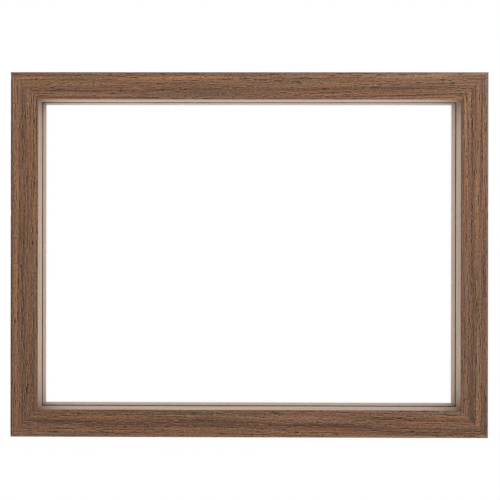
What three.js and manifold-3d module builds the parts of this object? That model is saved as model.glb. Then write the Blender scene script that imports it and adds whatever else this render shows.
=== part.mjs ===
import * as THREE from "three";
import { mergeVertices } from "three/addons/utils/BufferGeometryUtils.js";
import Module from "manifold-3d";

// Double glass photo frame, landscape, in millimetres.
// Two panes of glass lie in the rabbet of a mitred wooden moulding, with a print held between them.
// Four retaining strips press the panes against the moulding's lip, and turn buttons hold the strips.
// +X runs along the long side, +Y from the face to the back and +Z up. The origin is the middle of the
// flat underside. Depths in the shapes are counted back from the face.

// Panes and the print between them
const paneWidth = 200;
const paneHeight = 150;
const paneThickness = 1.2;
const paneArris = 0.2;
const printGap = 0.3;
const paneClearance = 0.5;

// Moulding section, measured in from the outer edge and back from the face
const landWidth = 5.8;
const glassCover = 5.9;
const lipDepth = 9.6;
const frameDepth = 20;
const veneerThickness = 0.6;
const outerRound = 0.6;
const sightArris = 0.3;
const coreArris = 0.3;
const mitreGap = 0.05;

// Retaining strips
const stripClearance = 0.3;
const stripRound = 0.5;
const stripFrontRound = 0.35;
const stripMitreGap = 0.15;

// Corner nails: folded steel, driven flush into the back across each mitre
const cornerNailApex = 4.6;
const cornerNailWing = 3.2;
const cornerNailLip = 0.35;
const cornerNailSheet = 0.45;
const cornerNailDepth = 7;
const cornerNailSet = 0.15;
const cornerNailClearance = 0.1;

// Turn buttons
const buttonSheet = 0.8;
const buttonHeel = 2.6;
const buttonTip = 1.9;
const buttonTipMargin = 0.9;
const buttonBow = 0.4;
const buttonLift = 0.55;
const buttonPlay = 0.05;
const buttonFromCorner = 45;

// Button screws: pan head with a cross recess
const screwShank = 1.1;
const screwLength = 9;
const screwPoint = 2.2;
const screwHead = 2.1;
const screwHeadHeight = 1.3;
const screwHoleClearance = 0.12;
const recessSpan = 2.3;
const recessWidth = 0.55;
const recessDepth = 0.75;

// Sawtooth hangers and their nails
const hangerLength = 38;
const hangerWidth = 4.8;
const hangerSheet = 0.7;
const hangerRise = 1.4;
const hangerTab = 5.6;
const hangerRamp = 2.4;
const hangerCorner = 1.1;
const toothPitch = 2.2;
const toothDepth = 1.1;
const nailFromEnd = 2.5;
const nailShank = 0.6;
const nailLength = 7;
const nailPoint = 1.4;
const nailHead = 1.35;
const nailHeadHeight = 0.45;
const nailHoleClearance = 0.12;

// Faces per full turn on the small round pieces, and steps along a bent sheet
const roundFaces = 24;
const bendSteps = 10;

// Sizes that follow
const faceWidth = landWidth + paneClearance + glassCover;
const frameWidth = paneWidth + 2 * (paneClearance + landWidth);
const frameHeight = paneHeight + 2 * (paneClearance + landWidth);
const frontPaneDepth = lipDepth;
const backPaneDepth = lipDepth + paneThickness + printGap;
const stripDepth = backPaneDepth + paneThickness;
const landCentre = (veneerThickness + landWidth) / 2;
const buttonReach = faceWidth - buttonTipMargin - buttonTip - landCentre;
const buttonEnd = buttonReach + buttonTip;
const nailOffset = hangerLength / 2 - nailFromEnd;

// The four sides: each has its own frame, with X along the side, Y towards the back and Z inwards from
// the outer edge, turned about the depth axis so that one side follows the next round the frame.
const sides = [
  { name: "bottom", length: frameWidth, turn: 0, x: 0, z: 0, hanger: false },
  { name: "right", length: frameHeight, turn: -Math.PI / 2, x: frameWidth / 2, z: frameHeight / 2, hanger: false },
  { name: "top", length: frameWidth, turn: Math.PI, x: 0, z: frameHeight, hanger: true },
  { name: "left", length: frameHeight, turn: Math.PI / 2, x: -frameWidth / 2, z: frameHeight / 2, hanger: true },
];

const wasm = await Module();
wasm.setup();

// Solid work: a closed geometry becomes a solid, and a finished solid becomes a geometry again
function solid(geometry) {
  const bare = geometry.clone();
  bare.deleteAttribute("normal");
  bare.deleteAttribute("uv");
  const merged = mergeVertices(bare, 1e-4);
  const vertProperties = merged.attributes.position.array;
  const triVerts = new Uint32Array(merged.index.array);
  return new wasm.Manifold(new wasm.Mesh({ numProp: 3, vertProperties, triVerts }));
}

function surface(body) {
  const mesh = body.getMesh();
  const geometry = new THREE.BufferGeometry();
  geometry.setAttribute("position", new THREE.BufferAttribute(mesh.vertProperties, 3));
  geometry.setIndex(new THREE.BufferAttribute(mesh.triVerts, 1));
  const faceted = geometry.toNonIndexed();
  faceted.computeVertexNormals();
  return faceted;
}

function cut(geometry, tools) {
  return surface(tools.reduce((body, tool) => body.subtract(solid(tool)), solid(geometry)));
}

// A closed outline through points given as [x, y]
function outline(points) {
  return new THREE.Shape(points.map(([x, y]) => new THREE.Vector2(x, y)));
}

// A flat plate: the outline lies in X and Z, and its thickness runs back from one depth to another
function plate(shape, fromDepth, toDepth) {
  const geometry = new THREE.ExtrudeGeometry(shape, {
    depth: toDepth - fromDepth,
    bevelEnabled: false,
    curveSegments: roundFaces / 2,
  });
  return geometry.rotateX(Math.PI / 2).translate(0, toDepth, 0);
}

// A round piece about the depth axis, from its half section as [radius, depth] points
function turned(halfSection) {
  return new THREE.LatheGeometry(
    halfSection.map(([radius, depth]) => new THREE.Vector2(radius, depth)),
    roundFaces,
  );
}

// A round hole drilled square into the back
function drilled(radius, x, z, depth) {
  const bit = turned([
    [0, frameDepth - depth],
    [radius, frameDepth - depth],
    [radius, frameDepth + 1],
    [0, frameDepth + 1],
  ]);
  return bit.translate(x, 0, z);
}

// A section carried along one side. The section's X is the inset from the outer edge and its Y the depth.
// Every point runs out to the mitre plane at 45 degrees, less the gap, at both ends.
function mitred(section, length, gap) {
  const geometry = new THREE.ExtrudeGeometry(section, { depth: 1, bevelEnabled: false, curveSegments: 5 });
  const position = geometry.attributes.position;
  for (let i = 0; i < position.count; i += 1) {
    const inset = position.getX(i);
    const end = 1 - 2 * position.getZ(i);
    position.setXYZ(i, end * (length / 2 - inset - gap), position.getY(i), inset);
  }
  geometry.computeVertexNormals();
  return geometry;
}

// Veneer: one L that covers the face and the outer side, rounded where it turns the corner
function veneerSection() {
  const shape = new THREE.Shape();
  shape.moveTo(faceWidth, veneerThickness);
  shape.lineTo(faceWidth, sightArris);
  shape.lineTo(faceWidth - sightArris, 0);
  shape.lineTo(outerRound, 0);
  shape.absarc(outerRound, outerRound, outerRound, -Math.PI / 2, Math.PI, true);
  shape.lineTo(0, frameDepth - coreArris);
  shape.lineTo(coreArris, frameDepth);
  shape.lineTo(veneerThickness, frameDepth);
  shape.lineTo(veneerThickness, veneerThickness);
  return shape;
}

// Core: the lip in front, the rabbet for the panes behind it, and the land that carries the buttons
function coreSection() {
  return outline([
    [veneerThickness, veneerThickness],
    [veneerThickness, frameDepth],
    [landWidth - coreArris, frameDepth],
    [landWidth, frameDepth - coreArris],
    [landWidth, lipDepth],
    [faceWidth - coreArris, lipDepth],
    [faceWidth, lipDepth - coreArris],
    [faceWidth, veneerThickness],
  ]);
}

// Retaining strip: fills the rabbet behind the panes, flush with the lip's edge and with the back
function stripSection() {
  const outer = landWidth + stripClearance;
  const front = stripDepth + stripFrontRound;
  const shape = new THREE.Shape();
  shape.moveTo(outer, stripDepth);
  shape.lineTo(outer, frameDepth);
  shape.lineTo(faceWidth - stripRound, frameDepth);
  shape.absarc(faceWidth - stripRound, frameDepth - stripRound, stripRound, Math.PI / 2, 0, true);
  shape.lineTo(faceWidth, front);
  shape.absarc(faceWidth - stripFrontRound, front, stripFrontRound, 0, -Math.PI / 2, true);
  return shape;
}

// Corner nail: two wings at right angles that open towards the outer corner, with a curled lip on each
// wing's end. The grown form is the slot that it is driven into.
function cornerNailOutline(grow) {
  const half = cornerNailSheet / 2 + grow;
  const inner = cornerNailApex + half;
  const outer = cornerNailApex - half;
  const end = cornerNailApex - cornerNailWing - grow;
  const lipStart = end + cornerNailSheet + 2 * grow;
  const lip = inner + cornerNailLip;
  const wing = [
    [outer, outer],
    [outer, end],
    [lip, end],
    [lip, lipStart],
    [inner, lipStart],
    [inner, inner],
  ];
  const otherWing = wing.slice(1, -1).reverse().map(([x, z]) => [z, x]);
  return outline([...wing, ...otherWing]);
}

// The nail, or its slot, for a corner that lies at the origin with the side running off along +X
function cornerNail(grow) {
  const deepest = frameDepth - cornerNailSet - cornerNailDepth - grow;
  const top = grow > 0 ? frameDepth + 1 : frameDepth - cornerNailSet;
  return plate(cornerNailOutline(grow), deepest, top);
}

function cornerSlots(side) {
  const half = side.length / 2;
  const near = cornerNail(cornerNailClearance).translate(-half, 0, 0);
  const far = cornerNail(cornerNailClearance).rotateY(-Math.PI / 2).translate(half, 0, 0);
  return [near, far];
}

// Panes: rectangles with a ground arris all round
function pane(depth) {
  const low = landWidth;
  const half = paneWidth / 2;
  const sheet = outline([
    [-half, low],
    [half, low],
    [half, low + paneHeight],
    [-half, low + paneHeight],
  ]);
  const geometry = new THREE.ExtrudeGeometry(sheet, {
    depth: paneThickness - 2 * paneArris,
    bevelEnabled: true,
    bevelSegments: 1,
    bevelThickness: paneArris,
    bevelSize: paneArris,
    bevelOffset: -paneArris,
  });
  return geometry.rotateX(Math.PI / 2).translate(0, depth + paneThickness - paneArris, 0);
}

// Bent sheet metal: the strip's edge view, with its underside at a given height above the wood along X
function bentSheet(from, to, height, thickness, width) {
  const edge = [];
  for (let i = 0; i <= bendSteps; i += 1) {
    const x = from + ((to - from) * i) / bendSteps;
    edge.push([x, frameDepth + height(x)]);
  }
  const outerFace = edge.map(([x, depth]) => [x, depth + thickness]).reverse();
  const geometry = new THREE.ExtrudeGeometry(outline([...edge, ...outerFace]), {
    depth: width,
    bevelEnabled: false,
  });
  return geometry.translate(0, 0, -width / 2);
}

// Turn button, arm along +X from the pivot. It is flat under the screw, bows over the joint between land
// and strip, comes down on the strip and lifts at the tip, so that a fingertip can push it round.
function buttonHeight(x) {
  if (x <= buttonHeel) {
    return buttonPlay;
  }
  if (x <= buttonReach) {
    const share = (x - buttonHeel) / (buttonReach - buttonHeel);
    return buttonPlay + buttonBow * Math.sin(Math.PI * share) ** 2;
  }
  return buttonPlay + buttonLift * ((x - buttonReach) / buttonTip) ** 2;
}

function turnButton() {
  const tangent = Math.acos((buttonHeel - buttonTip) / buttonReach);
  const plan = new THREE.Shape();
  plan.absarc(0, 0, buttonHeel, tangent, 2 * Math.PI - tangent, false);
  plan.absarc(buttonReach, 0, buttonTip, -tangent, tangent, false);
  const bore = new THREE.Path();
  bore.absarc(0, 0, screwShank + screwHoleClearance, 0, 2 * Math.PI, true);
  plan.holes.push(bore);
  const stock = plate(plan, frameDepth, frameDepth + buttonSheet + buttonBow + buttonLift + buttonPlay);
  const heel = bentSheet(-buttonHeel, buttonHeel, buttonHeight, buttonSheet, 2 * buttonHeel);
  const arm = bentSheet(buttonHeel, buttonReach, buttonHeight, buttonSheet, 2 * buttonHeel);
  const tip = bentSheet(buttonReach, buttonEnd, buttonHeight, buttonSheet, 2 * buttonHeel);
  return surface(solid(heel).add(solid(arm)).add(solid(tip)).intersect(solid(stock)));
}

// Screw: the head rests on the button with the same play as the button on the wood
function screw() {
  const seat = frameDepth + buttonPlay + buttonSheet + buttonPlay;
  const crown = seat + screwHeadHeight;
  const point = seat - screwLength;
  const body = turned([
    [0, point],
    [screwShank, point + screwPoint],
    [screwShank, seat],
    [screwHead, seat],
    [screwHead, seat + screwHeadHeight * 0.45],
    [screwHead * 0.86, seat + screwHeadHeight * 0.8],
    [screwHead * 0.5, crown],
    [0, crown],
  ]);
  const arms = [0, Math.PI / 2].map((turn) => {
    const arm = new THREE.BoxGeometry(recessSpan, 2 * recessDepth, recessWidth);
    return arm.rotateY(turn + Math.PI / 6).translate(0, crown, 0);
  });
  return cut(body, arms);
}

// Sawtooth hanger, flat at both nailed ends and raised between them, with its teeth on the inner edge
function hangerHeight(x) {
  const fromTab = (hangerLength / 2 - hangerTab - Math.abs(x)) / hangerRamp;
  const share = THREE.MathUtils.clamp(fromTab, 0, 1);
  return hangerRise * share * share * (3 - 2 * share);
}

function hangerOutline() {
  const halfLength = hangerLength / 2;
  const halfWidth = hangerWidth / 2;
  const raised = halfLength - hangerTab - hangerRamp;
  const teeth = Math.max(1, Math.floor((2 * raised) / toothPitch));
  const points = [
    [-halfLength, hangerCorner - halfWidth],
    [hangerCorner - halfLength, -halfWidth],
    [halfLength - hangerCorner, -halfWidth],
    [halfLength, hangerCorner - halfWidth],
    [halfLength, halfWidth - hangerCorner],
    [halfLength - hangerCorner, halfWidth],
  ];
  const start = (teeth * toothPitch) / 2;
  for (let i = 0; i < teeth; i += 1) {
    const x = start - i * toothPitch;
    points.push([x, halfWidth]);
    points.push([x - toothPitch / 2, halfWidth - toothDepth]);
  }
  points.push([-start, halfWidth]);
  points.push([hangerCorner - halfLength, halfWidth]);
  points.push([-halfLength, halfWidth - hangerCorner]);
  return outline(points);
}

function hanger() {
  const half = hangerLength / 2;
  const rampStart = half - hangerTab;
  const rampEnd = rampStart - hangerRamp;
  const spans = [
    [-half, -rampStart],
    [-rampStart, -rampEnd],
    [-rampEnd, rampEnd],
    [rampEnd, rampStart],
    [rampStart, half],
  ];
  const strip = spans
    .map(([from, to]) => solid(bentSheet(from, to, hangerHeight, hangerSheet, hangerWidth + 1)))
    .reduce((whole, span) => whole.add(span));
  const stock = solid(plate(hangerOutline(), frameDepth, frameDepth + hangerRise + hangerSheet));
  const holes = [-nailOffset, nailOffset].map((x) => solid(drilled(nailShank + nailHoleClearance, x, 0, 1)));
  return surface(holes.reduce((body, hole) => body.subtract(hole), strip.intersect(stock)));
}

// Nail: slightly domed head down on the hanger's tab
function nail() {
  const seat = frameDepth + hangerSheet;
  return turned([
    [0, seat - nailLength],
    [nailShank, seat - nailLength + nailPoint],
    [nailShank, seat],
    [nailHead, seat],
    [nailHead, seat + nailHeadHeight * 0.5],
    [nailHead * 0.7, seat + nailHeadHeight],
    [0, seat + nailHeadHeight],
  ]);
}

// Places along a side of what is fixed to its back
function buttonPlaces(side) {
  const fromMiddle = side.length / 2 - buttonFromCorner;
  return [-fromMiddle, fromMiddle];
}

function nailPlaces(side) {
  return side.hanger ? [-nailOffset, nailOffset] : [];
}

// Core with its screw and nail holes and the corner nails' slots
function core(side) {
  const holes = [
    ...buttonPlaces(side).map((x) =>
      drilled(screwShank + screwHoleClearance, x, landCentre, screwLength - buttonSheet),
    ),
    ...nailPlaces(side).map((x) => drilled(nailShank + nailHoleClearance, x, landCentre, nailLength - hangerSheet)),
  ];
  return cut(mitred(coreSection(), side.length, mitreGap), [...holes, ...cornerSlots(side)]);
}

// Finishes
function finish(colour, roughness, metalness) {
  return new THREE.MeshStandardMaterial({ color: colour, roughness, metalness });
}

const walnutVeneer = () => finish("#7d5c4a", 0.55, 0);
const paleWood = () => finish("#c8b4a0", 0.7, 0);
const brightSteel = () => finish("#b9bbbd", 0.35, 1);
const floatGlass = () => {
  const glass = finish("#e4efe9", 0.03, 0);
  glass.transparent = true;
  glass.opacity = 0.25;
  return glass;
};

function piece(name, geometry, material, x = 0, z = 0) {
  const mesh = new THREE.Mesh(geometry, material);
  mesh.name = name;
  mesh.position.set(x, 0, z);
  return mesh;
}

// Assembly: everything is placed behind the face, which stands half the depth in front of the origin
const behindFace = new THREE.Group();
behindFace.position.y = -frameDepth / 2;

for (const side of sides) {
  const group = new THREE.Group();
  group.rotation.y = side.turn;
  group.position.set(side.x, 0, side.z);
  group.add(piece(`rail_core_${side.name}`, core(side), paleWood()));
  group.add(piece(`rail_veneer_${side.name}`, mitred(veneerSection(), side.length, mitreGap), walnutVeneer()));
  group.add(piece(`retaining_strip_${side.name}`, mitred(stripSection(), side.length, stripMitreGap), paleWood()));
  group.add(piece(`corner_nail_${side.name}`, cornerNail(0), brightSteel(), -side.length / 2));
  buttonPlaces(side).forEach((x, i) => {
    const button = piece(`turn_button_${side.name}_${i + 1}`, turnButton(), brightSteel(), x, landCentre);
    button.rotation.y = -Math.PI / 2;
    group.add(button);
    group.add(piece(`button_screw_${side.name}_${i + 1}`, screw(), brightSteel(), x, landCentre));
  });
  if (side.hanger) {
    group.add(piece(`sawtooth_hanger_${side.name}`, hanger(), brightSteel(), 0, landCentre));
  }
  nailPlaces(side).forEach((x, i) => {
    group.add(piece(`hanger_nail_${side.name}_${i + 1}`, nail(), brightSteel(), x, landCentre));
  });
  behindFace.add(group);
}

behindFace.add(piece("glass_front", pane(frontPaneDepth), floatGlass()));
behindFace.add(piece("glass_back", pane(backPaneDepth), floatGlass()));

const photoFrame = new THREE.Group();
photoFrame.add(behindFace);

export default photoFrame;
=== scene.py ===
# Double glass photo frame: the looks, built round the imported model
import math

import bpy
import numpy as np
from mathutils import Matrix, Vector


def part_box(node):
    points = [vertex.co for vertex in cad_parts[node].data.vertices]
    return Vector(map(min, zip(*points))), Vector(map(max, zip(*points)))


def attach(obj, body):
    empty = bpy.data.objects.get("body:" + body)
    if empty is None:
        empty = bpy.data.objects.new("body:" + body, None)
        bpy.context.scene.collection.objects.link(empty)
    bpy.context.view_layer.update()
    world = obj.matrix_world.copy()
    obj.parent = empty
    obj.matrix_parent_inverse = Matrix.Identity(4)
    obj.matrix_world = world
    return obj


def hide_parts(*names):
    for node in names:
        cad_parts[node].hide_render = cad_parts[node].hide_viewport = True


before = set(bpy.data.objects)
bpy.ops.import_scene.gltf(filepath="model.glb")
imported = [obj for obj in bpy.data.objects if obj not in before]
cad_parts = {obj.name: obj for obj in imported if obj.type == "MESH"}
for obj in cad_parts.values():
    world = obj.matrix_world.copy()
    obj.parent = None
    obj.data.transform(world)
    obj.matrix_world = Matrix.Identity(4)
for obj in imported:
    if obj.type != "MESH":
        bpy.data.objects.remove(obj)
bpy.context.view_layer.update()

# Everything below is worked out in millimetres, and goes into the meshes in metres
MM = 0.001


def extent(node):
    """Lowest and highest corner of a CAD node, in millimetres."""
    low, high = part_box(node)
    return np.array(low) / MM, np.array(high) / MM


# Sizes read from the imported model. Depths are counted back from the face
veneer_low, veneer_high = extent("rail_veneer_bottom")
core_low = extent("rail_core_bottom")[0]
strip_low = extent("retaining_strip_bottom")[0]
button_low, button_high = extent("turn_button_bottom_1")
screw_low, screw_high = extent("button_screw_bottom_1")
hanger_low, hanger_high = extent("sawtooth_hanger_top")
nail_low, nail_high = extent("hanger_nail_top_1")
frame_depth = veneer_high[1] - veneer_low[1]
half_depth = frame_depth / 2
face_width = veneer_high[2]
frame_width = 2 * extent("rail_veneer_right")[1][0]
half_width = frame_width / 2
frame_height = extent("rail_veneer_top")[1][2]
half_height = frame_height / 2
veneer_thickness = core_low[2]
strip_front = strip_low[1] + half_depth
strip_outer = strip_low[2]
button_heel = (button_high[0] - button_low[0]) / 2
button_from_corner = half_width + (button_low[0] + button_high[0]) / 2
land_centre = button_low[2] + button_heel
button_end = button_high[2] - land_centre
button_play = button_low[1] - half_depth
screw_head = (screw_high[0] - screw_low[0]) / 2
screw_crown = screw_high[1] + half_depth
screw_point = screw_low[1] + half_depth
hanger_length = hanger_high[0] - hanger_low[0]
hanger_width = hanger_high[2] - hanger_low[2]
hanger_top = hanger_high[1] + half_depth
nail_head = (nail_high[0] - nail_low[0]) / 2
nail_crown = nail_high[1] + half_depth
nail_point = nail_low[1] + half_depth

# Rounds and bends, as in the part's source
outer_round = 0.6
sight_arris = 0.3
back_arris = 0.3
strip_round = 0.5
strip_front_round = 0.35
button_sheet = 0.8
button_tip = 1.9
button_bow = 0.4
button_lift = 0.55
screw_shank = 1.1
screw_head_height = 1.3
hanger_sheet = 0.7
hanger_tab = 5.6
hanger_ramp = 2.4
hanger_corner = 1.1
tooth_pitch = 2.2
tooth_depth = 1.1
nail_from_end = 2.5
nail_shank = 0.6
nail_head_height = 0.45

# The four sides. Each has a frame of its own: along it, back from the face, and in from the outer edge
sides = {
    "bottom": {"length": frame_width, "turn": 0.0, "x": 0.0, "z": 0.0},
    "right": {"length": frame_height, "turn": -math.pi / 2, "x": half_width, "z": half_height},
    "top": {"length": frame_width, "turn": math.pi, "x": 0.0, "z": frame_height},
    "left": {"length": frame_height, "turn": math.pi / 2, "x": -half_width, "z": half_height},
}
hanger_sides = ("top", "left")


def placed(side, along, depth, inset):
    """Points of one side in the frame's metres: its own frame turned about the depth axis, then moved."""
    cosine = math.cos(side["turn"])
    sine = math.sin(side["turn"])
    x = along * cosine + inset * sine + side["x"]
    y = depth - half_depth
    z = inset * cosine - along * sine + side["z"]
    return np.stack(np.broadcast_arrays(x, y, z), axis=-1) * MM


# Camera, matched to the corners of the face, of the glass line and of the back edge. It stands about 0.41 m
# in front of the face, and its lean, roll and turn are all under half a degree
camera_place = (-6.5, -421.0, 91.75)
camera_lean = -0.00046
camera_roll = -0.00158
camera_turn = 0.0073
camera_data = bpy.data.cameras.new("camera")
camera_data.lens = 66.547
camera_data.sensor_width = 36
camera_data.shift_x = 0.04464
camera_data.shift_y = -0.0366
camera_data.clip_start = 0.01
camera = bpy.data.objects.new("camera", camera_data)
camera.location = [value * MM for value in camera_place]
camera.rotation_euler = (math.pi / 2 + camera_lean, camera_roll, camera_turn)
bpy.context.collection.objects.link(camera)
bpy.context.scene.camera = camera
bpy.context.scene.view_settings.view_transform = "Standard"


# Colours and nodes


def colour(code):
    """An sRGB hex colour as linear red, green, blue and alpha."""
    values = [int(code[i : i + 2], 16) / 255 for i in (1, 3, 5)]
    linear = [v / 12.92 if v <= 0.04045 else ((v + 0.055) / 1.055) ** 2.4 for v in values]
    return (*linear, 1.0)


# Sockets of the Mix node when it mixes colours
MIX_FACTOR, MIX_A, MIX_B, MIX_RESULT = 0, 6, 7, 2


def add(tree, kind, values=None, links=None, stops=None, **settings):
    """One node: settings are its own properties, values are set on its sockets, links join outputs to its
    sockets, and stops are the places and hex colours of a colour ramp."""
    made = tree.nodes.new(kind)
    for name, setting in settings.items():
        setattr(made, name, setting)
    for socket, value in (values or {}).items():
        made.inputs[socket].default_value = value
    for socket, source in (links or {}).items():
        tree.links.new(source, made.inputs[socket])
    for i, (place, code) in enumerate(stops or []):
        stop = made.color_ramp.elements[i] if i < 2 else made.color_ramp.elements.new(place)
        stop.position = place
        stop.color = colour(code)
    return made


def blank_material(name):
    """A material with an empty node tree, and that tree."""
    material = bpy.data.materials.new(name)
    material.use_nodes = True
    material.node_tree.nodes.clear()
    return material, material.node_tree


def walnut_veneer():
    """American walnut, sliced veneer with open pores under a thin matt lacquer. To the eye: long soft
    bands of gold, red and olive brown, thin dark growth lines, fine fibres, and short dark pores, each
    with a painted highlight beside it. Painted light and shade also come in through the leaf's light, the
    outer arris and the sight edge."""
    material, tree = blank_material("walnut_veneer_matt_lacquer")
    names = ("grain", "pore", "lip", "growth", "arris", "cut_edge_and_glint", "leaf")
    marks = {name: add(tree, "ShaderNodeAttribute", attribute_name=name) for name in names}

    # Noise drawn out along the grain: bands nearly as long as the rail, streaks in them, fibres, and flecks
    # where the fibres dip in and out of the surface. Each has its length and width in millimetres, its
    # detail and its roughness. Real fibres are about 0.1 mm wide, and are drawn 0.5 mm wide to show
    drawn = {}
    for name, length, width, detail, roughness in (
        ("band", 250, 3.125, 3.0, 0.5),
        ("streak", 62.5, 0.769, 3.0, 0.7),
        ("fibre", 45.45, 0.5, 2.0, 0.75),
        ("fleck", 1.111, 0.4167, 1.0, 0.6),
    ):
        place = add(
            tree,
            "ShaderNodeMapping",
            {"Scale": (1 / length, 1 / width, 1.0)},
            {"Vector": marks["grain"].outputs["Vector"]},
        )
        drawn[name] = add(
            tree,
            "ShaderNodeTexNoise",
            {"Scale": 1.0, "Detail": detail, "Roughness": roughness},
            {"Vector": place.outputs[0]},
        )
    band_colour = add(
        tree,
        "ShaderNodeValToRGB",
        links={"Fac": drawn["band"].outputs[0]},
        stops=[(0.3, "#754c3a"), (0.7, "#9d705a")],
    )

    # In each band some streaks are redder and some more olive, and some warmer and some greyer
    hue_parts = add(tree, "ShaderNodeSeparateColor", links={0: drawn["streak"].outputs[1]})
    olive_to_red = [(0.3, "#dffff7"), (0.7, "#ffe6f3")]
    grey_to_warm = [(0.3, "#e3f4ff"), (0.7, "#fff5b8")]
    hued = band_colour.outputs[0]
    for part, stops in enumerate((olive_to_red, grey_to_warm)):
        tint = add(tree, "ShaderNodeValToRGB", links={"Fac": hue_parts.outputs[part]}, stops=stops)
        tinted = add(
            tree,
            "ShaderNodeMix",
            {MIX_FACTOR: 1.0},
            {MIX_A: hued, MIX_B: tint.outputs[0]},
            data_type="RGBA",
            blend_type="MULTIPLY",
        )
        hued = tinted.outputs[MIX_RESULT]

    # Growth lines are thin and dark
    lined = add(
        tree,
        "ShaderNodeMix",
        {MIX_B: colour("#452f20")},
        {MIX_FACTOR: marks["growth"].outputs["Fac"], MIX_A: hued},
        data_type="RGBA",
    )

    # The leaf's light at each place, painted light times the broad streaks, made lighter and darker by
    # its fibres and flecks
    light = marks["leaf"].outputs["Fac"]
    for name, least, most in (("fibre", 0.52, 1.48), ("fleck", 0.55, 1.45)):
        share = add(
            tree,
            "ShaderNodeMapRange",
            {"From Min": 0.3, "From Max": 0.7, "To Min": least, "To Max": most},
            {"Value": drawn[name].outputs[0]},
        )
        lighter = add(tree, "ShaderNodeMath", links={0: light, 1: share.outputs[0]}, operation="MULTIPLY")
        light = lighter.outputs[0]
    fibred = add(
        tree,
        "ShaderNodeVectorMath",
        links={0: lined.outputs[MIX_RESULT], "Scale": light},
        operation="SCALE",
    )

    # The shortest pores, about a millimetre long, are specks, mostly along the growth lines
    speck_share = add(
        tree,
        "ShaderNodeMapRange",
        {"From Min": 0.44, "From Max": 0.34, "To Min": 0.0, "To Max": 0.9},
        {"Value": drawn["fleck"].outputs[0]},
    )
    open_share = add(
        tree,
        "ShaderNodeMapRange",
        {"From Min": 0.0, "From Max": 0.6, "To Min": 0.12, "To Max": 1.0},
        {"Value": marks["growth"].outputs["Fac"]},
    )
    speck = add(
        tree,
        "ShaderNodeMath",
        links={0: speck_share.outputs[0], 1: open_share.outputs[0]},
        operation="MULTIPLY",
    )

    # Over the leaf come, in this order: the specks; a painted grey sheen on the rounded outer arris;
    # the sanded sight edge, golden where the leaf is cut through and partly a painted highlight of the
    # sight arris; the pores' painted highlights on their lit side; and the pores, dark because the lacquer
    # doesn't fill them
    shown = fibred.outputs[0]
    for share, code in (
        (speck.outputs[0], "#301e13"),
        (marks["arris"].outputs["Fac"], "#705a5c"),
        (marks["cut_edge_and_glint"].outputs["Fac"], "#a57547"),
        (marks["lip"].outputs["Fac"], "#b58d6c"),
        (marks["pore"].outputs["Fac"], "#1f1612"),
    ):
        cover = add(
            tree,
            "ShaderNodeMix",
            {MIX_B: colour(code)},
            {MIX_FACTOR: share, MIX_A: shown},
            data_type="RGBA",
        )
        shown = cover.outputs[MIX_RESULT]

    # The pores are rough, and the fibres stand up a little through the lacquer
    shine = add(
        tree,
        "ShaderNodeMapRange",
        {"To Min": 0.48, "To Max": 0.85},
        {"Value": marks["pore"].outputs["Fac"]},
    )
    bump = add(
        tree,
        "ShaderNodeBump",
        {"Strength": 0.3, "Distance": 0.1 * MM},
        {"Height": drawn["fibre"].outputs[0]},
    )
    surface = add(
        tree,
        "ShaderNodeBsdfPrincipled",
        {"IOR": 1.5, "Specular IOR Level": 0.3},
        {"Base Color": shown, "Roughness": shine.outputs[0], "Normal": bump.outputs[0]},
    )
    add(tree, "ShaderNodeOutputMaterial", links={"Surface": surface.outputs[0]})
    return material


# Painted shade in the inner walls' corners, darker towards the front and the bottom. It falls to about a
# third over these distances, in millimetres: from a corner along the walls, from the front to the back, and
# from the bottom to the top. Its depth is its share of the colour where all three distances are 0
corner_shade_reach = 6.8
corner_shade_thinning = 11.0
corner_shade_height = 450.0
corner_shade_depth = 0.9


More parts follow.
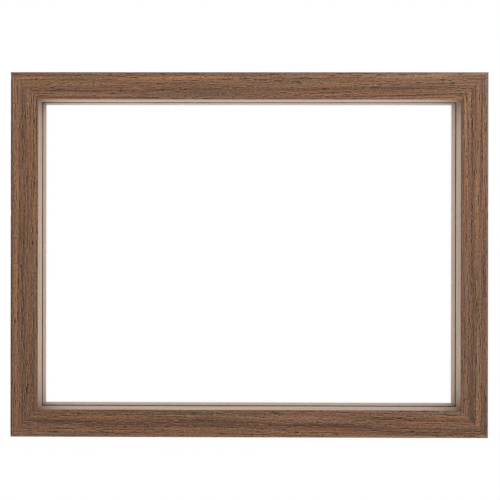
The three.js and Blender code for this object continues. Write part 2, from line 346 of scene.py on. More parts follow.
def sanded_beech(name, upright, dark, light):
    """Steamed beech, planed and sanded, with no finish. To the eye: an even pinkish beige with faint long
    streaks, and the small brown flecks that beech has wherever it is cut. Upright turns the grain to run
    up. The inner walls are painted darker in the frame's corners, a painted shade, most at the front and
    the bottom. An attribute holds the strips' painted shade, and is 1 where a strip's front is painted
    dark, a painted shade for the dark line along the glass's edge."""
    material, tree = blank_material(name)
    slot_shade = add(tree, "ShaderNodeAttribute", attribute_name="slot_shade")
    place = add(tree, "ShaderNodeTexCoord")
    turned = add(
        tree,
        "ShaderNodeMapping",
        {"Rotation": (0.0, math.pi / 2 if upright else 0.0, 0.0), "Scale": (1 / MM, 1 / MM, 1 / MM)},
        {"Vector": place.outputs["Object"]},
    )

    # Noise drawn out along the grain, each with its length and width in millimetres, its detail and its
    # roughness. Real fibres are finer, and are drawn as coarse as they need to be to show in the bump
    drawn = {}
    for pattern, length, width, detail, roughness in (
        ("streak", 50, 1.4286, 3.0, 0.6),
        ("fleck", 1.818, 0.2941, 1.0, 0.5),
        ("fibre", 3.333, 0.1667, 2.0, 0.5),
    ):
        drawn_out = add(
            tree,
            "ShaderNodeMapping",
            {"Scale": (1 / length, 1 / width, 1 / width)},
            {"Vector": turned.outputs[0]},
        )
        drawn[pattern] = add(
            tree,
            "ShaderNodeTexNoise",
            {"Scale": 1.0, "Detail": detail, "Roughness": roughness},
            {"Vector": drawn_out.outputs[0]},
        )
    tone = add(
        tree,
        "ShaderNodeValToRGB",
        links={"Fac": drawn["streak"].outputs[0]},
        stops=[(0.3, dark), (0.7, light)],
    )
    fleck_share = add(
        tree,
        "ShaderNodeMapRange",
        {"From Min": 0.62, "From Max": 0.74, "To Min": 0.0, "To Max": 0.6},
        {"Value": drawn["fleck"].outputs[0]},
    )

    # Distances from the nearest inner corner: the place is folded about the frame's middle, so that all
    # four corners fall on one point
    centred = add(
        tree,
        "ShaderNodeVectorMath",
        {1: (0.0, 0.0, half_height * MM)},
        {0: place.outputs["Object"]},
        operation="SUBTRACT",
    )
    folded = add(tree, "ShaderNodeVectorMath", links={0: centred.outputs[0]}, operation="ABSOLUTE")
    from_corner = add(
        tree,
        "ShaderNodeVectorMath",
        {1: ((half_width - face_width) * MM, 0.0, (half_height - face_width) * MM)},
        {0: folded.outputs[0]},
        operation="SUBTRACT",
    )
    apart = add(tree, "ShaderNodeVectorMath", links={0: from_corner.outputs[0]}, operation="ABSOLUTE")

    # The painted shade falls off as an exponential of the distances, and leaves out what faces front or
    # back
    falls = []
    for measured, reach in (
        (apart.outputs[0], (-1 / (corner_shade_reach * MM), 0.0, -1 / (corner_shade_reach * MM))),
        (place.outputs["Object"], (0.0, -1 / (corner_shade_thinning * MM), -1 / (corner_shade_height * MM))),
    ):
        fall = add(tree, "ShaderNodeVectorMath", {1: reach}, {0: measured}, operation="DOT_PRODUCT")
        falls.append(fall.outputs["Value"])
    falling = add(tree, "ShaderNodeMath", links={0: falls[0], 1: falls[1]}, operation="ADD")
    fading = add(tree, "ShaderNodeMath", links={0: falling.outputs[0]}, operation="EXPONENT")
    geometry = add(tree, "ShaderNodeNewGeometry")
    facing = add(
        tree,
        "ShaderNodeVectorMath",
        {1: (0.0, 1.0, 0.0)},
        {0: geometry.outputs["Normal"]},
        operation="DOT_PRODUCT",
    )
    flatness = add(tree, "ShaderNodeMath", links={0: facing.outputs["Value"]}, operation="ABSOLUTE")
    corner_shade_share = add(
        tree,
        "ShaderNodeMapRange",
        {
            "From Min": 0.7,
            "From Max": 0.3,
            "To Min": 0.0,
            "To Max": corner_shade_depth * math.exp(-half_depth / corner_shade_thinning),
        },
        {"Value": flatness.outputs[0]},
    )
    corner_shade = add(
        tree,
        "ShaderNodeMath",
        links={0: fading.outputs[0], 1: corner_shade_share.outputs[0]},
        operation="MULTIPLY",
    )

    # Over the wood come its flecks, the painted corner shade, and the painted shade on the strips
    shown = tone.outputs[0]
    for share, code in (
        (fleck_share.outputs[0], "#8d6c55"),
        (corner_shade.outputs[0], "#4a3326"),
        (slot_shade.outputs["Fac"], "#381405"),
    ):
        cover = add(
            tree,
            "ShaderNodeMix",
            {MIX_B: colour(code)},
            {MIX_FACTOR: share, MIX_A: shown},
            data_type="RGBA",
        )
        shown = cover.outputs[MIX_RESULT]
    shine = add(
        tree,
        "ShaderNodeMapRange",
        {"To Min": 0.62, "To Max": 0.78},
        {"Value": drawn["streak"].outputs[0]},
    )
    bump = add(
        tree,
        "ShaderNodeBump",
        {"Strength": 0.3, "Distance": 0.06 * MM},
        {"Height": drawn["fibre"].outputs[0]},
    )
    surface = add(
        tree,
        "ShaderNodeBsdfPrincipled",
        {"IOR": 1.45},
        {"Base Color": shown, "Roughness": shine.outputs[0], "Normal": bump.outputs[0]},
    )
    add(tree, "ShaderNodeOutputMaterial", links={"Surface": surface.outputs[0]})
    return material


def float_glass():
    """Soda-lime float glass, cut and with ground arrises. To the eye: clear, as a pane this thin shows no
    green, and a mirror at a low angle. Light from the lamps and from nearby surfaces goes straight
    through."""
    material, tree = blank_material("soda_lime_float_glass")
    glass = add(
        tree,
        "ShaderNodeBsdfPrincipled",
        {"Base Color": colour("#ffffff"), "Roughness": 0.0, "IOR": 1.52, "Transmission Weight": 1.0},
    )
    clear = add(tree, "ShaderNodeBsdfTransparent", {"Color": colour("#ffffff")})
    path = add(tree, "ShaderNodeLightPath")
    through = add(
        tree,
        "ShaderNodeMath",
        links={0: path.outputs["Is Shadow Ray"], 1: path.outputs["Is Diffuse Ray"]},
        operation="MAXIMUM",
    )
    surface = add(
        tree,
        "ShaderNodeMixShader",
        links={0: through.outputs[0], 1: glass.outputs[0], 2: clear.outputs[0]},
    )
    add(tree, "ShaderNodeOutputMaterial", links={"Surface": surface.outputs[0]})
    return material


def plated_metal(name, light, dark, low_roughness, high_roughness):
    """Steel with a thin bright plating, tumbled after pressing. To the eye: grey metal with cloudy patches
    a millimetre or two wide, and small scratches that catch the light. The scratches are 2 mm long, and
    drawn a seventh of a millimetre wide so that they show."""
    patch_width = 1.6667
    scratch_length = 2.0
    scratch_width = 1 / 7
    scratch_slant = 0.6
    material, tree = blank_material(name)
    place = add(tree, "ShaderNodeTexCoord")
    cloud = add(
        tree,
        "ShaderNodeTexNoise",
        {"Scale": 1 / (patch_width * MM), "Detail": 4.0, "Roughness": 0.6},
        {"Vector": place.outputs["Object"]},
    )
    tone = add(
        tree,
        "ShaderNodeValToRGB",
        links={"Fac": cloud.outputs[0]},
        stops=[(0.3, dark), (0.7, light)],
    )
    shine = add(
        tree,
        "ShaderNodeMapRange",
        {"From Min": 0.3, "From Max": 0.7, "To Min": low_roughness, "To Max": high_roughness},
        {"Value": cloud.outputs[0]},
    )
    across_scratches = 1 / (scratch_width * MM)
    scratch_place = add(
        tree,
        "ShaderNodeMapping",
        {
            "Rotation": (0.0, scratch_slant, 0.0),
            "Scale": (1 / (scratch_length * MM), across_scratches, across_scratches),
        },
        {"Vector": place.outputs["Object"]},
    )
    scratch = add(
        tree,
        "ShaderNodeTexNoise",
        {"Scale": 1.0, "Detail": 2.0},
        {"Vector": scratch_place.outputs[0]},
    )
    bump = add(
        tree,
        "ShaderNodeBump",
        {"Strength": 0.2, "Distance": 0.03 * MM},
        {"Height": scratch.outputs[0]},
    )
    surface = add(
        tree,
        "ShaderNodeBsdfPrincipled",
        {"Metallic": 1.0},
        {"Base Color": tone.outputs[0], "Roughness": shine.outputs[0], "Normal": bump.outputs[0]},
    )
    add(tree, "ShaderNodeOutputMaterial", links={"Surface": surface.outputs[0]})
    return material


walnut = walnut_veneer()
# Four copies of the beech, one for each side, lighter or darker as painted light and shade on that side's
# walls; the top's is palest
beech = {
    "bottom": sanded_beech("sanded_beech_bottom", False, "#b89f8e", "#dac3b2"),
    "right": sanded_beech("sanded_beech_right", True, "#bea692", "#dcc6b3"),
    "top": sanded_beech("sanded_beech_top", False, "#d4beab", "#f3e0d1"),
    "left": sanded_beech("sanded_beech_left", True, "#b59b87", "#d3bca9"),
}
glass = float_glass()
zinc = plated_metal("zinc_plated_steel", "#dfe2e4", "#c3c7cb", 0.24, 0.38)
bright_steel = plated_metal("bright_drawn_steel", "#cdccc9", "#b2b0ac", 0.3, 0.45)


# Meshes from grids


def grid_piece(name, points, material, wrap_rows=False, first=None, last=None, smooth_below=50):
    """A piece over a grid of points, row by row. Each row is a closed loop, and quads join it to the next
    row; wrapped rows join the last row to the first. An end is closed by "face", one flat face over its
    row, or by a point that the row's points all run to. Edges that turn by more than smooth_below degrees
    stay sharp."""
    rows, columns = points.shape[:2]
    index = np.arange(rows * columns).reshape(rows, columns)
    near = index if wrap_rows else index[:-1]
    far = np.roll(index, -1, axis=0) if wrap_rows else index[1:]
    quads = np.stack([near, far, np.roll(far, -1, axis=1), np.roll(near, -1, axis=1)], axis=-1)
    faces = quads.reshape(-1, 4).tolist()
    vertices = [points.reshape(-1, 3)]
    count = rows * columns
    for end, row in ((first, index[0]), (last, index[-1][::-1])):
        if isinstance(end, str):
            faces.append(row.tolist())
        elif end is not None:
            fan = np.stack([np.full(columns, count), row, np.roll(row, -1)], axis=-1)
            faces += fan.tolist()
            vertices.append(np.array(end, float).reshape(1, 3))
            count += 1
    mesh = bpy.data.meshes.new(name)
    mesh.from_pydata(np.concatenate(vertices), [], faces)
    mesh.polygons.foreach_set("use_smooth", np.ones(len(faces), bool))
    mesh.set_sharp_from_angle(angle=math.radians(smooth_below))
    mesh.materials.append(material)
    mesh.update()
    piece = bpy.data.objects.new(name, mesh)
    bpy.context.collection.objects.link(piece)
    return piece


def stored(piece, name, kind, field, values):
    """Keeps one value or vector for each vertex of a piece, under a name that its material reads."""
    kept = piece.data.attributes.new(name, kind, "POINT")
    kept.data.foreach_set(field, values.astype(np.float32).ravel())


def arc(centre, radius, start, end, steps):
    """Points on an arc, from one angle to another in degrees, in the section's plane."""
    angles = np.radians(np.linspace(start, end, steps))
    return np.stack([centre[0] + radius * np.cos(angles), centre[1] + radius * np.sin(angles)], axis=1)


def straight(start, end, spacing):
    """Evenly spaced points between two points, without either of them."""
    start = np.array(start, float)
    end = np.array(end, float)
    steps = max(2, int(round(np.linalg.norm(end - start) / spacing)))
    return start + (end - start) * np.linspace(0, 1, steps + 1)[1:-1, None]


def smooth_step(value):
    """0 below 0, 1 above 1, and an even S curve between them."""
    share = np.clip(value, 0, 1)
    return share * share * (3 - 2 * share)


# Walnut veneer with open pores

# Pores in walnut are 0.1 to 0.2 mm wide and a few millimetres long. They are drawn up to 0.5 mm wide, as
# coarse as they need to be to show at the photograph's scale. Each lies in a cell of its own, and the
# cells repeat after a table of them, in which a rail's middle lies at pore_start. A painted highlight lies
# beside each, by the offset and at the strength set below. The chance of a pore is pore_chance, and on a
# growth line it is 1
pore_cell = (3.6, 0.5)
pore_length = (1.1, 5.4)
pore_width = (0.26, 0.5)
pore_slope = 0.04
pore_depth = 0.14
pore_table = (64, 96)
pore_start = (400, 60)
lip_offset = 0.32
lip_strength = 0.6
pore_chance = 0.2

# Growth lines: how far beyond the sight edge they begin, the least and most distance to the next one, their
# number, how far one fades on its sharp side and on its soft side, how far it wanders, and how strongly it
# shows. The waves in which it wanders and fades have a least length over one radian and a spread above it
growth_start = 3
growth_gap = (0.9, 2.2)
growth_count = 26
growth_sharp = 0.13
growth_soft = 0.24
growth_wander = 0.35
growth_strength = 0.9
wander_wave = (14, 30)
fading_wave = (9, 18)

# Waves of the grain across a rail: how far each goes, its length over one radian, its start for each seed
grain_waves = ((0.35, 38, 1.0), (0.12, 9.5, 2.3))

# How far apart two rails' leaves lie in the noise
leaf_distance = 37.0

# How wide the painted light, shade and grey sheen on the outer arris fade, how wide the golden sight
# edge, partly a painted highlight, is, and how wide it fades
arris_fade = 0.35
gold_width = 0.75
gold_fade = 0.5

# Distances between the mesh's points: along the rail, across the face and down the side. Then how far each
# rail stays back from its mitres, and the step at the leaf's back
row_spacing = 0.42
face_spacing = 0.13
side_spacing = 0.3
shown_mitre_gap = 0.012
back_step = 1.0


def slow_wave(along, wave, length_draw, start_draw):
    """A sine along the grain. Its length over one radian is drawn from the wave's shortest up to its spread
    above that, and its start from one whole turn, about 6.3 radians."""
    shortest, spread = wave
    return np.sin(along / (shortest + spread * length_draw) + 6.3 * start_draw)


def growth_lines(along, across, seed):
    """How dark the growth lines are at each point, from 0 to 1. Each line has its own place across the
    leaf, and wanders and fades along it in slow waves. It darkens gradually on one side and ends sharply
    on the other: a bell curve of the distance from it, with a width for each side. A point takes the
    darkest line there."""
    draws = np.random.default_rng(seed + 100).random((growth_count, 7))
    least, most = growth_gap
    places = face_width + growth_start - np.cumsum(least + (most - least) * draws[:, 0])
    darkest = np.zeros(along.shape)
    for place, draw in zip(places, draws):
        wander = growth_wander * draw[1] * slow_wave(along, wander_wave, draw[2], draw[3])
        from_line = across - place - wander
        width = np.where(from_line > 0, growth_sharp, growth_soft)
        fading = smooth_step(0.75 + 0.7 * slow_wave(along, fading_wave, draw[5], draw[6]))
        strength = 0.35 + 0.65 * draw[4]
        darkest = np.maximum(darkest, strength * fading * np.exp(-((from_line / width) ** 2)))
    return darkest


def pores(along, across, growth, seed):
    """How deep each point lies in a pore, from 0 to 1. The leaf is divided into cells, and a cell may hold
    one pore at a random place: a long ellipse nearly in line with the grain. Its depth is a half circle
    along it and a parabola across it, cut off to a flat bottom. More points show their pore along the
    growth lines, where the early wood is open. A point takes the deepest pore of its cell and the eight
    cells round it."""
    shortest, longest = pore_length
    narrowest, widest = pore_width
    draws = np.random.default_rng(seed).random((*pore_table, 6))
    cell_along = np.floor(along / pore_cell[0]).astype(int)
    cell_across = np.floor(across / pore_cell[1]).astype(int)
    chance = pore_chance + (1 - pore_chance) * growth
    deepest = np.zeros(along.shape)
    for step_along in (-1, 0, 1):
        for step_across in (-1, 0, 1):
            row = cell_along + step_along
            column = cell_across + step_across
            draw = draws[row % pore_table[0], column % pore_table[1]]
            middle_along = (row + draw[..., 0]) * pore_cell[0]
            middle_across = (column + draw[..., 1]) * pore_cell[1]
            reach_along = (shortest + (longest - shortest) * draw[..., 2] ** 2) / 2
            reach_across = (narrowest + (widest - narrowest) * draw[..., 3]) / 2
            slope = pore_slope * (2 * draw[..., 4] - 1)
            u = (along - middle_along) / reach_along
            v = (across - middle_across - slope * (along - middle_along)) / reach_across
            lengthwise = np.sqrt(np.clip(1 - u * u, 0, 1))
            crosswise = np.clip(1.4 * (1 - v * v), 0, 1)
            depth = lengthwise * crosswise * (0.3 + 0.7 * draw[..., 5])
            deepest = np.maximum(deepest, np.where(draw[..., 5] > 1 - chance, depth, 0))
    return deepest


def grain_drift(along, length, slant, seed):
    """How far the grain wanders across the rail, in millimetres: a slant from end to end and long waves."""
    drift = slant * along / length
    for far, radian, start in grain_waves:
        drift = drift + far * np.sin(along / radian + start * seed)
    return drift


def streak_light(grain_across, streaks):
    """How light the leaf's broad streaks are at each point. Each is a bell curve across the grain, with
    its place and its width in millimetres and the light in its middle."""
    light = np.ones(grain_across.shape)
    for place, width, middle in streaks:
        light *= 1 + (middle - 1) * np.exp(-(((grain_across - place) / width) ** 2))
    return light


def veneer_line():
    """The veneer's outer line, as points in from the outer edge and back from the face: from the back of
    the sight edge over the sight arris, across the face, round the outer arris and down the side to the
    back."""
    return np.concatenate(
        [
            [(face_width, veneer_thickness)],
            arc((face_width - sight_arris, sight_arris), sight_arris, 0, -90, 5),
            straight((face_width - sight_arris, 0), (outer_round, 0), face_spacing),
            arc((outer_round, outer_round), outer_round, -90, -180, 10),
            straight((0, outer_round), (0, frame_depth - back_arris), side_spacing),
            arc((back_arris, frame_depth - back_arris), back_arris, 180, 90, 4),
            [(veneer_thickness, frame_depth)],
        ]
    )


def veneer_rail(side_name, seed, tone, slant, streaks, arris_painted_light, arris_sheen_grey, edge_gold):
    """One rail's veneer. Its section is the outer line and, behind it, a line back along the core. Each
    point is carried along the rail out to the mitre, and sunk square to the surface where it lies in a
    pore. Tone is painted light: the leaf's light at the rail's one end, in its middle and at its other
    end. The pores' painted highlight is the pores moved across the grain, less the pores themselves."""
    side = sides[side_name]
    line = veneer_line()
    tangent = np.gradient(line, axis=0)
    tangent /= np.linalg.norm(tangent, axis=1)[:, None]
    outward = np.stack([-tangent[:, 1], tangent[:, 0]], axis=1)
    steps = np.linalg.norm(np.diff(line, axis=0), axis=1)
    across = face_width - np.concatenate([[0], np.cumsum(steps)])
    rows = int(side["length"] / row_spacing)
    share = np.linspace(1, -1, rows)[:, None]
    along = share * (side["length"] / 2 - line[:, 0] - shown_mitre_gap)
    grain_across = across + grain_drift(along, side["length"], slant, seed)

    # No pores open on the sight edge's flat, the first two points, and round the back arris, the last five
    open_wood = np.ones(len(line))
    open_wood[:2] = 0
    open_wood[-5:] = 0
    growth = growth_lines(along, grain_across, seed)
    pore_along = along + pore_start[0]
    pore_across = grain_across + pore_start[1]
    pore = pores(pore_along, pore_across, growth, seed) * open_wood
    beside = pores(pore_along, pore_across + lip_offset, growth, seed) * open_wood
    # Painted light or shade on the outer arris, set for each rail, and a painted grey sheen there
    arris = smooth_step((outer_round - np.abs(across)) / arris_fade)
    # The golden sight edge: the leaf cut through, and partly a painted highlight where the sight arris
    # catches light
    edge = smooth_step((across - face_width + gold_width) / gold_fade)
    # The leaf's light: painted light along the rail, lighter towards the frame's upper right, times the
    # broad streaks
    leaf = np.interp(share, (-1, 0, 1), tone) * streak_light(grain_across, streaks)
    shown = {
        "pore": pore,
        "lip": np.clip(lip_strength * beside - 2 * pore, 0, 1),
        "growth": growth_strength * growth,
        "leaf": leaf * (1 + (arris_painted_light - 1) * arris),
        "arris": np.broadcast_to(arris_sheen_grey * arris, along.shape),
        "cut_edge_and_glint": np.broadcast_to(edge_gold * edge, along.shape),
    }

    # The leaf's back has two points: where face and side meet, and a step short of the sight edge
    hidden = np.array([(veneer_thickness, veneer_thickness), (face_width - back_step, veneer_thickness)])
    sunk = line - pore[..., None] * pore_depth * outward
    section = np.concatenate([sunk, np.broadcast_to(hidden, (rows, 2, 2))], axis=1)
    reach = side["length"] / 2 - section[..., 0] - shown_mitre_gap
    points = placed(side, share * reach, section[..., 1], section[..., 0])
    name = f"walnut_veneer_{side_name}"
    piece = grid_piece(name, points, walnut, first="face", last="face", smooth_below=70)
    behind = ((0, 0), (0, 2))
    for mark, values in shown.items():
        stored(piece, mark, "FLOAT", "value", np.pad(values, behind, mode="edge"))
    grain = np.stack([along, grain_across, np.full_like(along, leaf_distance * seed)], axis=-1)
    stored(piece, "grain", "FLOAT_VECTOR", "vector", np.pad(grain, (*behind, (0, 0)), mode="edge"))
    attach(piece, "frame")
    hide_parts(f"rail_veneer_{side_name}")


# Tones, streaks and edges of the four rails, as in the photograph
# The tones are painted light, lighter towards the frame's upper right, and the arris values paint light,
# shade and a grey sheen on the outer arris
veneer_rail(
    "bottom",
    seed=451,
    tone=(0.87, 0.92, 1.01),
    slant=3.8,
    streaks=((5.6, 1.1, 0.86), (8.4, 0.8, 1.1)),
    arris_painted_light=1.8,
    arris_sheen_grey=0.1,
    edge_gold=0.3,
)
veneer_rail(
    "right",
    seed=103,
    tone=(0.85, 0.95, 1.15),
    slant=0.8,
    streaks=((6.4, 0.8, 0.68), (10.0, 0.9, 1.34)),
    arris_painted_light=1.2,
    arris_sheen_grey=0.5,
    edge_gold=0.2,
)
veneer_rail(
    "top",
    seed=5,
    tone=(1.23, 1.07, 0.99),
    slant=-2.0,
    streaks=((7.3, 1.2, 0.8), (2.0, 1.0, 1.11)),
    arris_painted_light=1.2,
    arris_sheen_grey=0.6,
    edge_gold=1.0,
)
veneer_rail(
    "left",
    seed=137,
    tone=(1.2, 0.94, 0.87),
    slant=-0.4,
    streaks=((5.3, 0.7, 0.76), (2.0, 0.8, 1.26)),
    arris_painted_light=0.1,
    arris_sheen_grey=0.3,
    edge_gold=0.3,
)


# Retaining strips

# Distances between the mesh's points: on the front, on the other shown faces, on the hidden outer face, and
# along the strip. Then how far each strip stays back from its mitres, and how wide the painted shade fades
strip_front_spacing = 0.5
strip_face_spacing = 0.4
strip_hidden_spacing = 2.0
strip_row_spacing = 0.8
shown_strip_gap = 0.03
slot_shade_fade = 0.12


def retaining_strip(side_name, shade, slot_shade_reach):
    """One strip behind the glass: a rectangle with its two shown arrises rounded, carried along to the
    mitres. Its front is painted dark, a painted shade for the dark line along the glass's edge, which fades
    out just round the front arris to the strip's painted shade, set for each side. It reaches round by its
    own length at one end, in the middle and at the other."""
    side = sides[side_name]
    front = strip_front + strip_front_round
    back = frame_depth - strip_round
    back_corner = (strip_outer, frame_depth)
    front_corner = (strip_outer, strip_front)
    loop = np.concatenate(
        [
            [front_corner],
            straight(front_corner, (face_width - strip_front_round, strip_front), strip_front_spacing),
            arc((face_width - strip_front_round, front), strip_front_round, -90, 0, 6),
            straight((face_width, front), (face_width, back), strip_face_spacing),
            arc((face_width - strip_round, back), strip_round, 0, 90, 7),
            straight((face_width - strip_round, frame_depth), back_corner, strip_face_spacing),
            [back_corner],
            straight(back_corner, front_corner, strip_hidden_spacing),
        ]
    )
    rows = int(side["length"] / strip_row_spacing)
    share = np.linspace(-1, 1, rows)[:, None]
    inset = np.broadcast_to(loop[:, 0], (rows, len(loop)))
    depth = np.broadcast_to(loop[:, 1], (rows, len(loop)))
    along = share * (side["length"] / 2 - inset - shown_strip_gap)
    points = placed(side, along, depth, inset)
    piece = grid_piece(f"beech_strip_{side_name}", points, beech[side_name], first="face", last="face")
    reach = np.interp(share, (-1, 0, 1), slot_shade_reach)
    slot_shaded = smooth_step((strip_front + reach - depth) / slot_shade_fade)
    stored(piece, "slot_shade", "FLOAT", "value", np.maximum(slot_shaded, shade))
    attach(piece, "frame")
    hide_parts(f"retaining_strip_{side_name}")


# Each strip's painted shade, set for each side, and how far the painted shade on its front reaches round at
# one end, in the middle and at the other
retaining_strip("bottom", shade=0.11, slot_shade_reach=(0.5, 0.45, 0.38))
retaining_strip("right", shade=0.02, slot_shade_reach=(0.22, 0.26, 0.2))
retaining_strip("top", shade=0.0, slot_shade_reach=(0.38, 0.36, 0.36))
retaining_strip("left", shade=0.13, slot_shade_reach=(0.4, 0.33, 0.36))


# Pressed and turned metal pieces

# Round the edge of a sheet runs this section: over the top, round the sheared edge, back underneath and
# round the other edge. Each point has its share of the way across, how far it stays back from the nearer
# edge, and its height in the sheet
edge_round = 0.14
flat_points = 12
edge_points = 4


def sheet_section(sheet):
    """The section of a pressed sheet as three arrays: share across, distance from the nearer edge, height.
    Its flats are level, and its edges are quarter circles."""
    flat = np.linspace(0, 1, flat_points)
    turn = np.radians(np.linspace(90, 0, edge_points))[1:]
    back_turn = turn[::-1][1:]
    nip = edge_round * (1 - np.cos(turn))
    back_nip = edge_round * (1 - np.cos(back_turn))
    rise = edge_round * (1 - np.sin(turn))
    back_rise = edge_round * (1 - np.sin(back_turn))
    level = np.ones(flat_points)
    upright = np.ones(len(turn) + len(back_turn))
    share = [flat, upright, flat[::-1], 0 * upright]
    from_edge = [edge_round * level, nip, back_nip, edge_round * level, nip, back_nip]
    height = [sheet * level, sheet - rise, back_rise, 0 * level, rise, sheet - back_rise]
    return np.concatenate(share), np.concatenate(from_edge), np.concatenate(height)


def evenly(line, count):
    """A closed line's points again, at even steps along it."""
    closed = np.concatenate([line, line[:1]])
    run = np.concatenate([[0], np.cumsum(np.linalg.norm(np.diff(closed, axis=0), axis=1))])
    places = np.linspace(0, run[-1], count + 1)[:-1]
    return np.stack([np.interp(places, run, closed[:, 0]), np.interp(places, run, closed[:, 1])], axis=1)


screw_hole = 1.22
outline_points = 96


def button_height(x, reach):
    """Height of the button's underside over the wood at x along its arm: flat under the screw, a bow that
    rises and falls as a squared sine, and a tip that lifts as a square."""
    bow = button_bow * np.sin(math.pi * np.clip((x - button_heel) / (reach - button_heel), 0, 1)) ** 2
    lift = button_lift * np.clip((x - reach) / button_tip, 0, 1) ** 2
    return button_play + bow + lift


def turn_button(side_name, number):
    """One turn button. Its outline is two circles and their common tangents. From the bore to that outline
    runs the sheet's section, and every point is lifted by the button's height at its place along the
    arm."""
    side = sides[side_name]
    pivot = (number * 2 - 3) * (side["length"] / 2 - button_from_corner)
    reach = button_end - button_tip
    tangent = math.degrees(math.acos((button_heel - button_tip) / reach))
    heel = arc((0, 0), button_heel, tangent, 360 - tangent, 90)
    tip = arc((reach, 0), button_tip, -tangent, tangent, 70)
    outline = evenly(np.concatenate([heel, tip]), outline_points)
    direction = outline / np.linalg.norm(outline, axis=1)[:, None]
    share, from_edge, height = sheet_section(button_sheet)
    bore = direction[:, None] * (screw_hole + from_edge)[:, None]
    rim = outline[:, None] - direction[:, None] * from_edge[:, None]
    plan = bore * (1 - share)[:, None] + rim * share[:, None]
    depth = frame_depth + button_height(plan[..., 0], reach) + height
    points = placed(side, pivot - plan[..., 1], depth, land_centre + plan[..., 0])
    piece = grid_piece(f"pressed_button_{side_name}_{number}", points, zinc, wrap_rows=True)
    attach(piece, f"button_{side_name}_{number}")
    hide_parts(f"turn_button_{side_name}_{number}")


# Screws: points of a ring, rings of the thread and of the head, how far the first and the last ring stay
# inside the shank, the thread, the tapered point, the plain neck and the length over which the thread runs
# out there, the power of the head's rounded square section, its underside's share, and the cross recess
ring_points = 72
thread_rings = 76
head_rings = 34
first_ring = 0.15
last_ring = 0.02
thread_pitch = 1.0
thread_core = 0.82
flank_start = 1.6
flank_slope = 2.2
taper_length = 2.2
neck_length = 1.4
neck_fade = 0.4
neck_share = 0.95
head_power = 2.8
under_share = 0.97
recess_span = 2.3
recess_width = 0.55
recess_depth = 0.75
recess_end_slope = 0.35
recess_side_slope = 0.12


def button_screw(side_name, number, turn):
    """One pan-head screw, as rings from its point to its crown. The shank's radius rises and falls once in
    each turn and pitch, which makes the thread. The head's section is a rounded square curve, and its
    crown is sunk where it lies in the cross recess."""
    side = sides[side_name]
    pivot = (number * 2 - 3) * (side["length"] / 2 - button_from_corner)
    angle = np.linspace(0, 2 * math.pi, ring_points, endpoint=False)
    seat = screw_crown - screw_head_height
    shank_depth = np.linspace(screw_point + first_ring, seat - last_ring, thread_rings)
    ridge = np.abs(2 * ((shank_depth[:, None] / thread_pitch - angle / (2 * math.pi)) % 1) - 1)
    taper = smooth_step((shank_depth - screw_point) / taper_length)[:, None]
    neck = smooth_step((shank_depth - seat + neck_length) / neck_fade)[:, None]
    threaded = thread_core + (screw_shank - thread_core) * smooth_step(flank_start - flank_slope * ridge)
    shank_radius = taper * (threaded * (1 - neck) + screw_shank * neck_share * neck)
    shank = np.stack([shank_radius, np.broadcast_to(shank_depth[:, None], shank_radius.shape)])

    curve = np.radians(np.linspace(0, 88, head_rings))
    head_radius = screw_head * np.cos(curve) ** (2 / head_power)
    head_depth = seat + screw_head_height * np.sin(curve) ** (2 / head_power)
    x = head_radius[:, None] * np.cos(angle - turn)
    y = head_radius[:, None] * np.sin(angle - turn)
    sunk = recess_depth * np.maximum(recess_arm(x, y), recess_arm(y, x))
    head = np.stack([np.broadcast_to(head_radius[:, None], sunk.shape), head_depth[:, None] - sunk])
    under = np.stack([np.full(angle.shape, screw_head * under_share), np.full(angle.shape, seat)])[:, None]
    radius, depth = np.concatenate([shank, under, head], axis=1)
    points = placed(side, pivot + radius * np.cos(angle), depth, land_centre + radius * np.sin(angle))
    point = placed(side, pivot, screw_point, land_centre)
    crown = placed(side, pivot, screw_crown - recess_depth, land_centre)
    name = f"pan_head_screw_{side_name}_{number}"
    piece = grid_piece(name, points, bright_steel, first=point, last=crown, smooth_below=35)
    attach(piece, "frame")
    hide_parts(f"button_screw_{side_name}_{number}")


def recess_arm(u, v):
    """How far a point lies in one arm of the cross recess, from 0 to 1: full along the arm's middle, with
    walls that slope a little at its sides and more at its ends."""
    along_arm = smooth_step((recess_span / 2 - np.abs(u)) / recess_end_slope)
    across_arm = smooth_step((recess_width / 2 - np.abs(v)) / recess_side_slope + 0.5)
    return along_arm * across_arm


def hanger_height(x):
    """Height of the hanger over the wood: flat on both nailed tabs, an S curve up the ramps, then level."""
    share = smooth_step((hanger_length / 2 - hanger_tab - np.abs(x)) / hanger_ramp)
    return (hanger_top - hanger_sheet - frame_depth) * share


# Stations of the mesh round a hanger's corner, along its tab and over each tooth
corner_stations = 7
tab_stations = 34
tooth_stations = 8


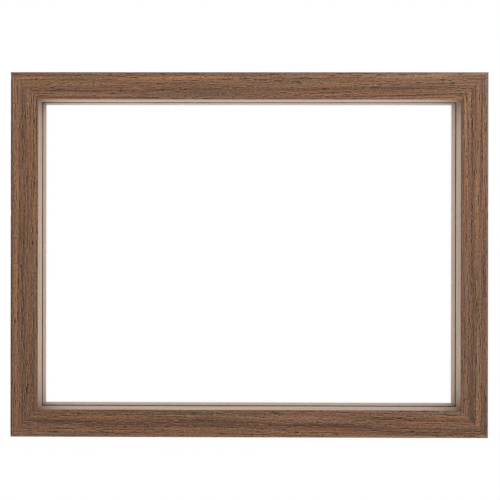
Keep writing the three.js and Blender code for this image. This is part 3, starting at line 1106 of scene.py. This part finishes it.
def sawtooth_hanger(side_name):
    """One sawtooth hanger. Stations run along it, and at each the sheet's section lies between its two
    edges: the outer edge straight, the inner edge a triangle wave between the ramps, and both rounded at
    the ends."""
    side = sides[side_name]
    half = hanger_length / 2
    raised = half - hanger_tab - hanger_ramp
    teeth = int(2 * raised / tooth_pitch)
    start = teeth * tooth_pitch / 2
    corner = half - hanger_corner * (1 - np.cos(np.radians(np.linspace(0, 80, corner_stations))))
    tab = np.linspace(half - hanger_corner, start, tab_stations)[1:-1]
    tooth = np.linspace(start, -start, teeth * tooth_stations + 1)
    x = np.concatenate([corner, tab, tooth, -tab[::-1], -corner[::-1]])
    from_end = np.clip((half - np.abs(x)) / hanger_corner, 0, 1)
    rounded = hanger_corner * (1 - np.sqrt(1 - (1 - from_end) ** 2))
    wave = 1 - np.abs(2 * (((x + start) / tooth_pitch) % 1) - 1)
    inner_edge = hanger_width / 2 - rounded - np.where(np.abs(x) <= start, tooth_depth * wave, 0)
    outer_edge = rounded - hanger_width / 2
    share, from_edge, height = sheet_section(hanger_sheet)
    low = outer_edge[:, None] + from_edge
    high = inner_edge[:, None] - from_edge
    plan = low * (1 - share) + high * share
    depth = frame_depth + hanger_height(x)[:, None] + height
    points = placed(side, x[:, None], depth, land_centre + plan)
    name = f"toothed_hanger_{side_name}"
    piece = grid_piece(name, points, zinc, first="face", last="face", smooth_below=40)
    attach(piece, "frame")
    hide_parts(f"sawtooth_hanger_{side_name}")


# Hanger nails: points of a ring, rings of the shank and of the dome, the point's blunt end and taper, and
# the rim's share of the head's radius
nail_points = 32
shank_rings = 7
dome_rings = 10
nail_blunt = 0.2
nail_blunt_at = 0.4
nail_taper = 1.4
rim_share = 0.96


def hanger_nail(side_name, number):
    """One nail: rings from the point up the shank, out under the head, round its rim and over its low
    dome. The dome's radius and height are powers of the cosine and sine of an angle, for a rim that is
    nearly upright."""
    side = sides[side_name]
    middle = (number * 2 - 3) * (hanger_length / 2 - nail_from_end)
    seat = nail_crown - nail_head_height
    angle = np.linspace(0, 2 * math.pi, nail_points, endpoint=False)
    dome = np.radians(np.linspace(0, 85, dome_rings))
    dome_radius = nail_head * np.cos(dome) ** 0.6
    dome_depth = seat + nail_head_height * np.sin(dome) ** 0.8
    shank_radius = np.full(shank_rings, nail_shank)
    shank_depth = np.linspace(nail_point + nail_taper, seat, shank_rings)
    radius = np.concatenate([[nail_blunt], shank_radius, [nail_head * rim_share], dome_radius])
    depth = np.concatenate([[nail_point + nail_blunt_at], shank_depth, [seat], dome_depth])
    points = placed(
        side,
        middle + radius[:, None] * np.cos(angle),
        depth[:, None],
        land_centre + radius[:, None] * np.sin(angle),
    )
    point = placed(side, middle, nail_point, land_centre)
    crown = placed(side, middle, nail_crown, land_centre)
    piece = grid_piece(f"domed_nail_{side_name}_{number}", points, bright_steel, first=point, last=crown)
    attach(piece, "frame")
    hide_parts(f"hanger_nail_{side_name}_{number}")


screw_turns = np.random.default_rng(4).random((len(sides), 2)) * math.pi / 2
for side_name, turns in zip(sides, screw_turns):
    for number, turn in zip((1, 2), turns):
        turn_button(side_name, number)
        button_screw(side_name, number, turn)
    if side_name in hanger_sides:
        sawtooth_hanger(side_name)
        hanger_nail(side_name, 1)
        hanger_nail(side_name, 2)


# Nodes that keep their CAD shape
kept_finishes = {"glass_front": glass, "glass_back": glass}
for side_name in sides:
    kept_finishes[f"rail_core_{side_name}"] = beech[side_name]
    kept_finishes[f"corner_nail_{side_name}"] = bright_steel
for node_name, finish in kept_finishes.items():
    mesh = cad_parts[node_name].data
    mesh.materials.clear()
    mesh.materials.append(finish)


# Studio

# What the camera sees directly, mirrored or through the glass is a pure white ground. Surfaces are lit by a
# dimmer white all round
room_strength = 0.8
ground_strength = 1.0
sweep_strength = 1.02
sweep_share = 0.93
background_rays = ("Is Camera Ray", "Is Glossy Ray", "Is Transmission Ray")


def background_share(tree):
    """A value of 1 for rays that see the white background, and 0 for those that carry light to surfaces."""
    path = add(tree, "ShaderNodeLightPath")
    share = path.outputs[background_rays[0]]
    for name in background_rays[1:]:
        either = add(tree, "ShaderNodeMath", links={0: share, 1: path.outputs[name]}, operation="MAXIMUM")
        share = either.outputs[0]
    return share


white = colour("#ffffff")
world = bpy.data.worlds.new("studio")
world.use_nodes = True
world_tree = world.node_tree
world_tree.nodes.clear()
bpy.context.scene.world = world
room_light = add(world_tree, "ShaderNodeBackground", {"Color": white, "Strength": room_strength})
white_ground = add(world_tree, "ShaderNodeBackground", {"Color": white, "Strength": ground_strength})
world_mix = add(
    world_tree,
    "ShaderNodeMixShader",
    links={0: background_share(world_tree), 1: room_light.outputs[0], 2: white_ground.outputs[0]},
)
add(world_tree, "ShaderNodeOutputWorld", links={"Surface": world_mix.outputs[0]})

floor_material, floor_tree = blank_material("white_sweep")
floor_paint = add(floor_tree, "ShaderNodeBsdfDiffuse", {"Color": colour("#f4f4f4")})
floor_white = add(floor_tree, "ShaderNodeEmission", {"Color": white, "Strength": sweep_strength})
floor_share = add(
    floor_tree,
    "ShaderNodeMath",
    {1: sweep_share},
    {0: background_share(floor_tree)},
    operation="MULTIPLY",
)
floor_mix = add(
    floor_tree,
    "ShaderNodeMixShader",
    links={0: floor_share.outputs[0], 1: floor_paint.outputs[0], 2: floor_white.outputs[0]},
)
add(floor_tree, "ShaderNodeOutputMaterial", links={"Surface": floor_mix.outputs[0]})
floor_reach = 4.0
floor_height = -0.05 * MM
floor_mesh = bpy.data.meshes.new("floor")
corners = ((-1, -1), (1, -1), (1, 1), (-1, 1))
floor_points = [(floor_reach * x, floor_reach * y, floor_height) for x, y in corners]
floor_mesh.from_pydata(floor_points, [], [(0, 1, 2, 3)])
floor_mesh.materials.append(floor_material)
floor = bpy.data.objects.new("floor", floor_mesh)
bpy.context.collection.objects.link(floor)


def soft_lamp(name, place, size, power):
    """A square soft box, turned so that its axis runs from its place to the middle of the frame."""
    lamp = bpy.data.lights.new(name, "AREA")
    lamp.size = size
    lamp.energy = power
    made = bpy.data.objects.new(name, lamp)
    made.location = place
    towards = np.array([0, 0, half_height * MM]) - np.array(place)
    made.rotation_euler = (
        math.atan2(math.hypot(towards[0], towards[1]), -towards[2]),
        0,
        math.atan2(towards[1], towards[0]) - math.pi / 2,
    )
    bpy.context.collection.objects.link(made)


soft_lamp("key_right", (0.85, -0.85, 0.30), 0.7, 4.5)
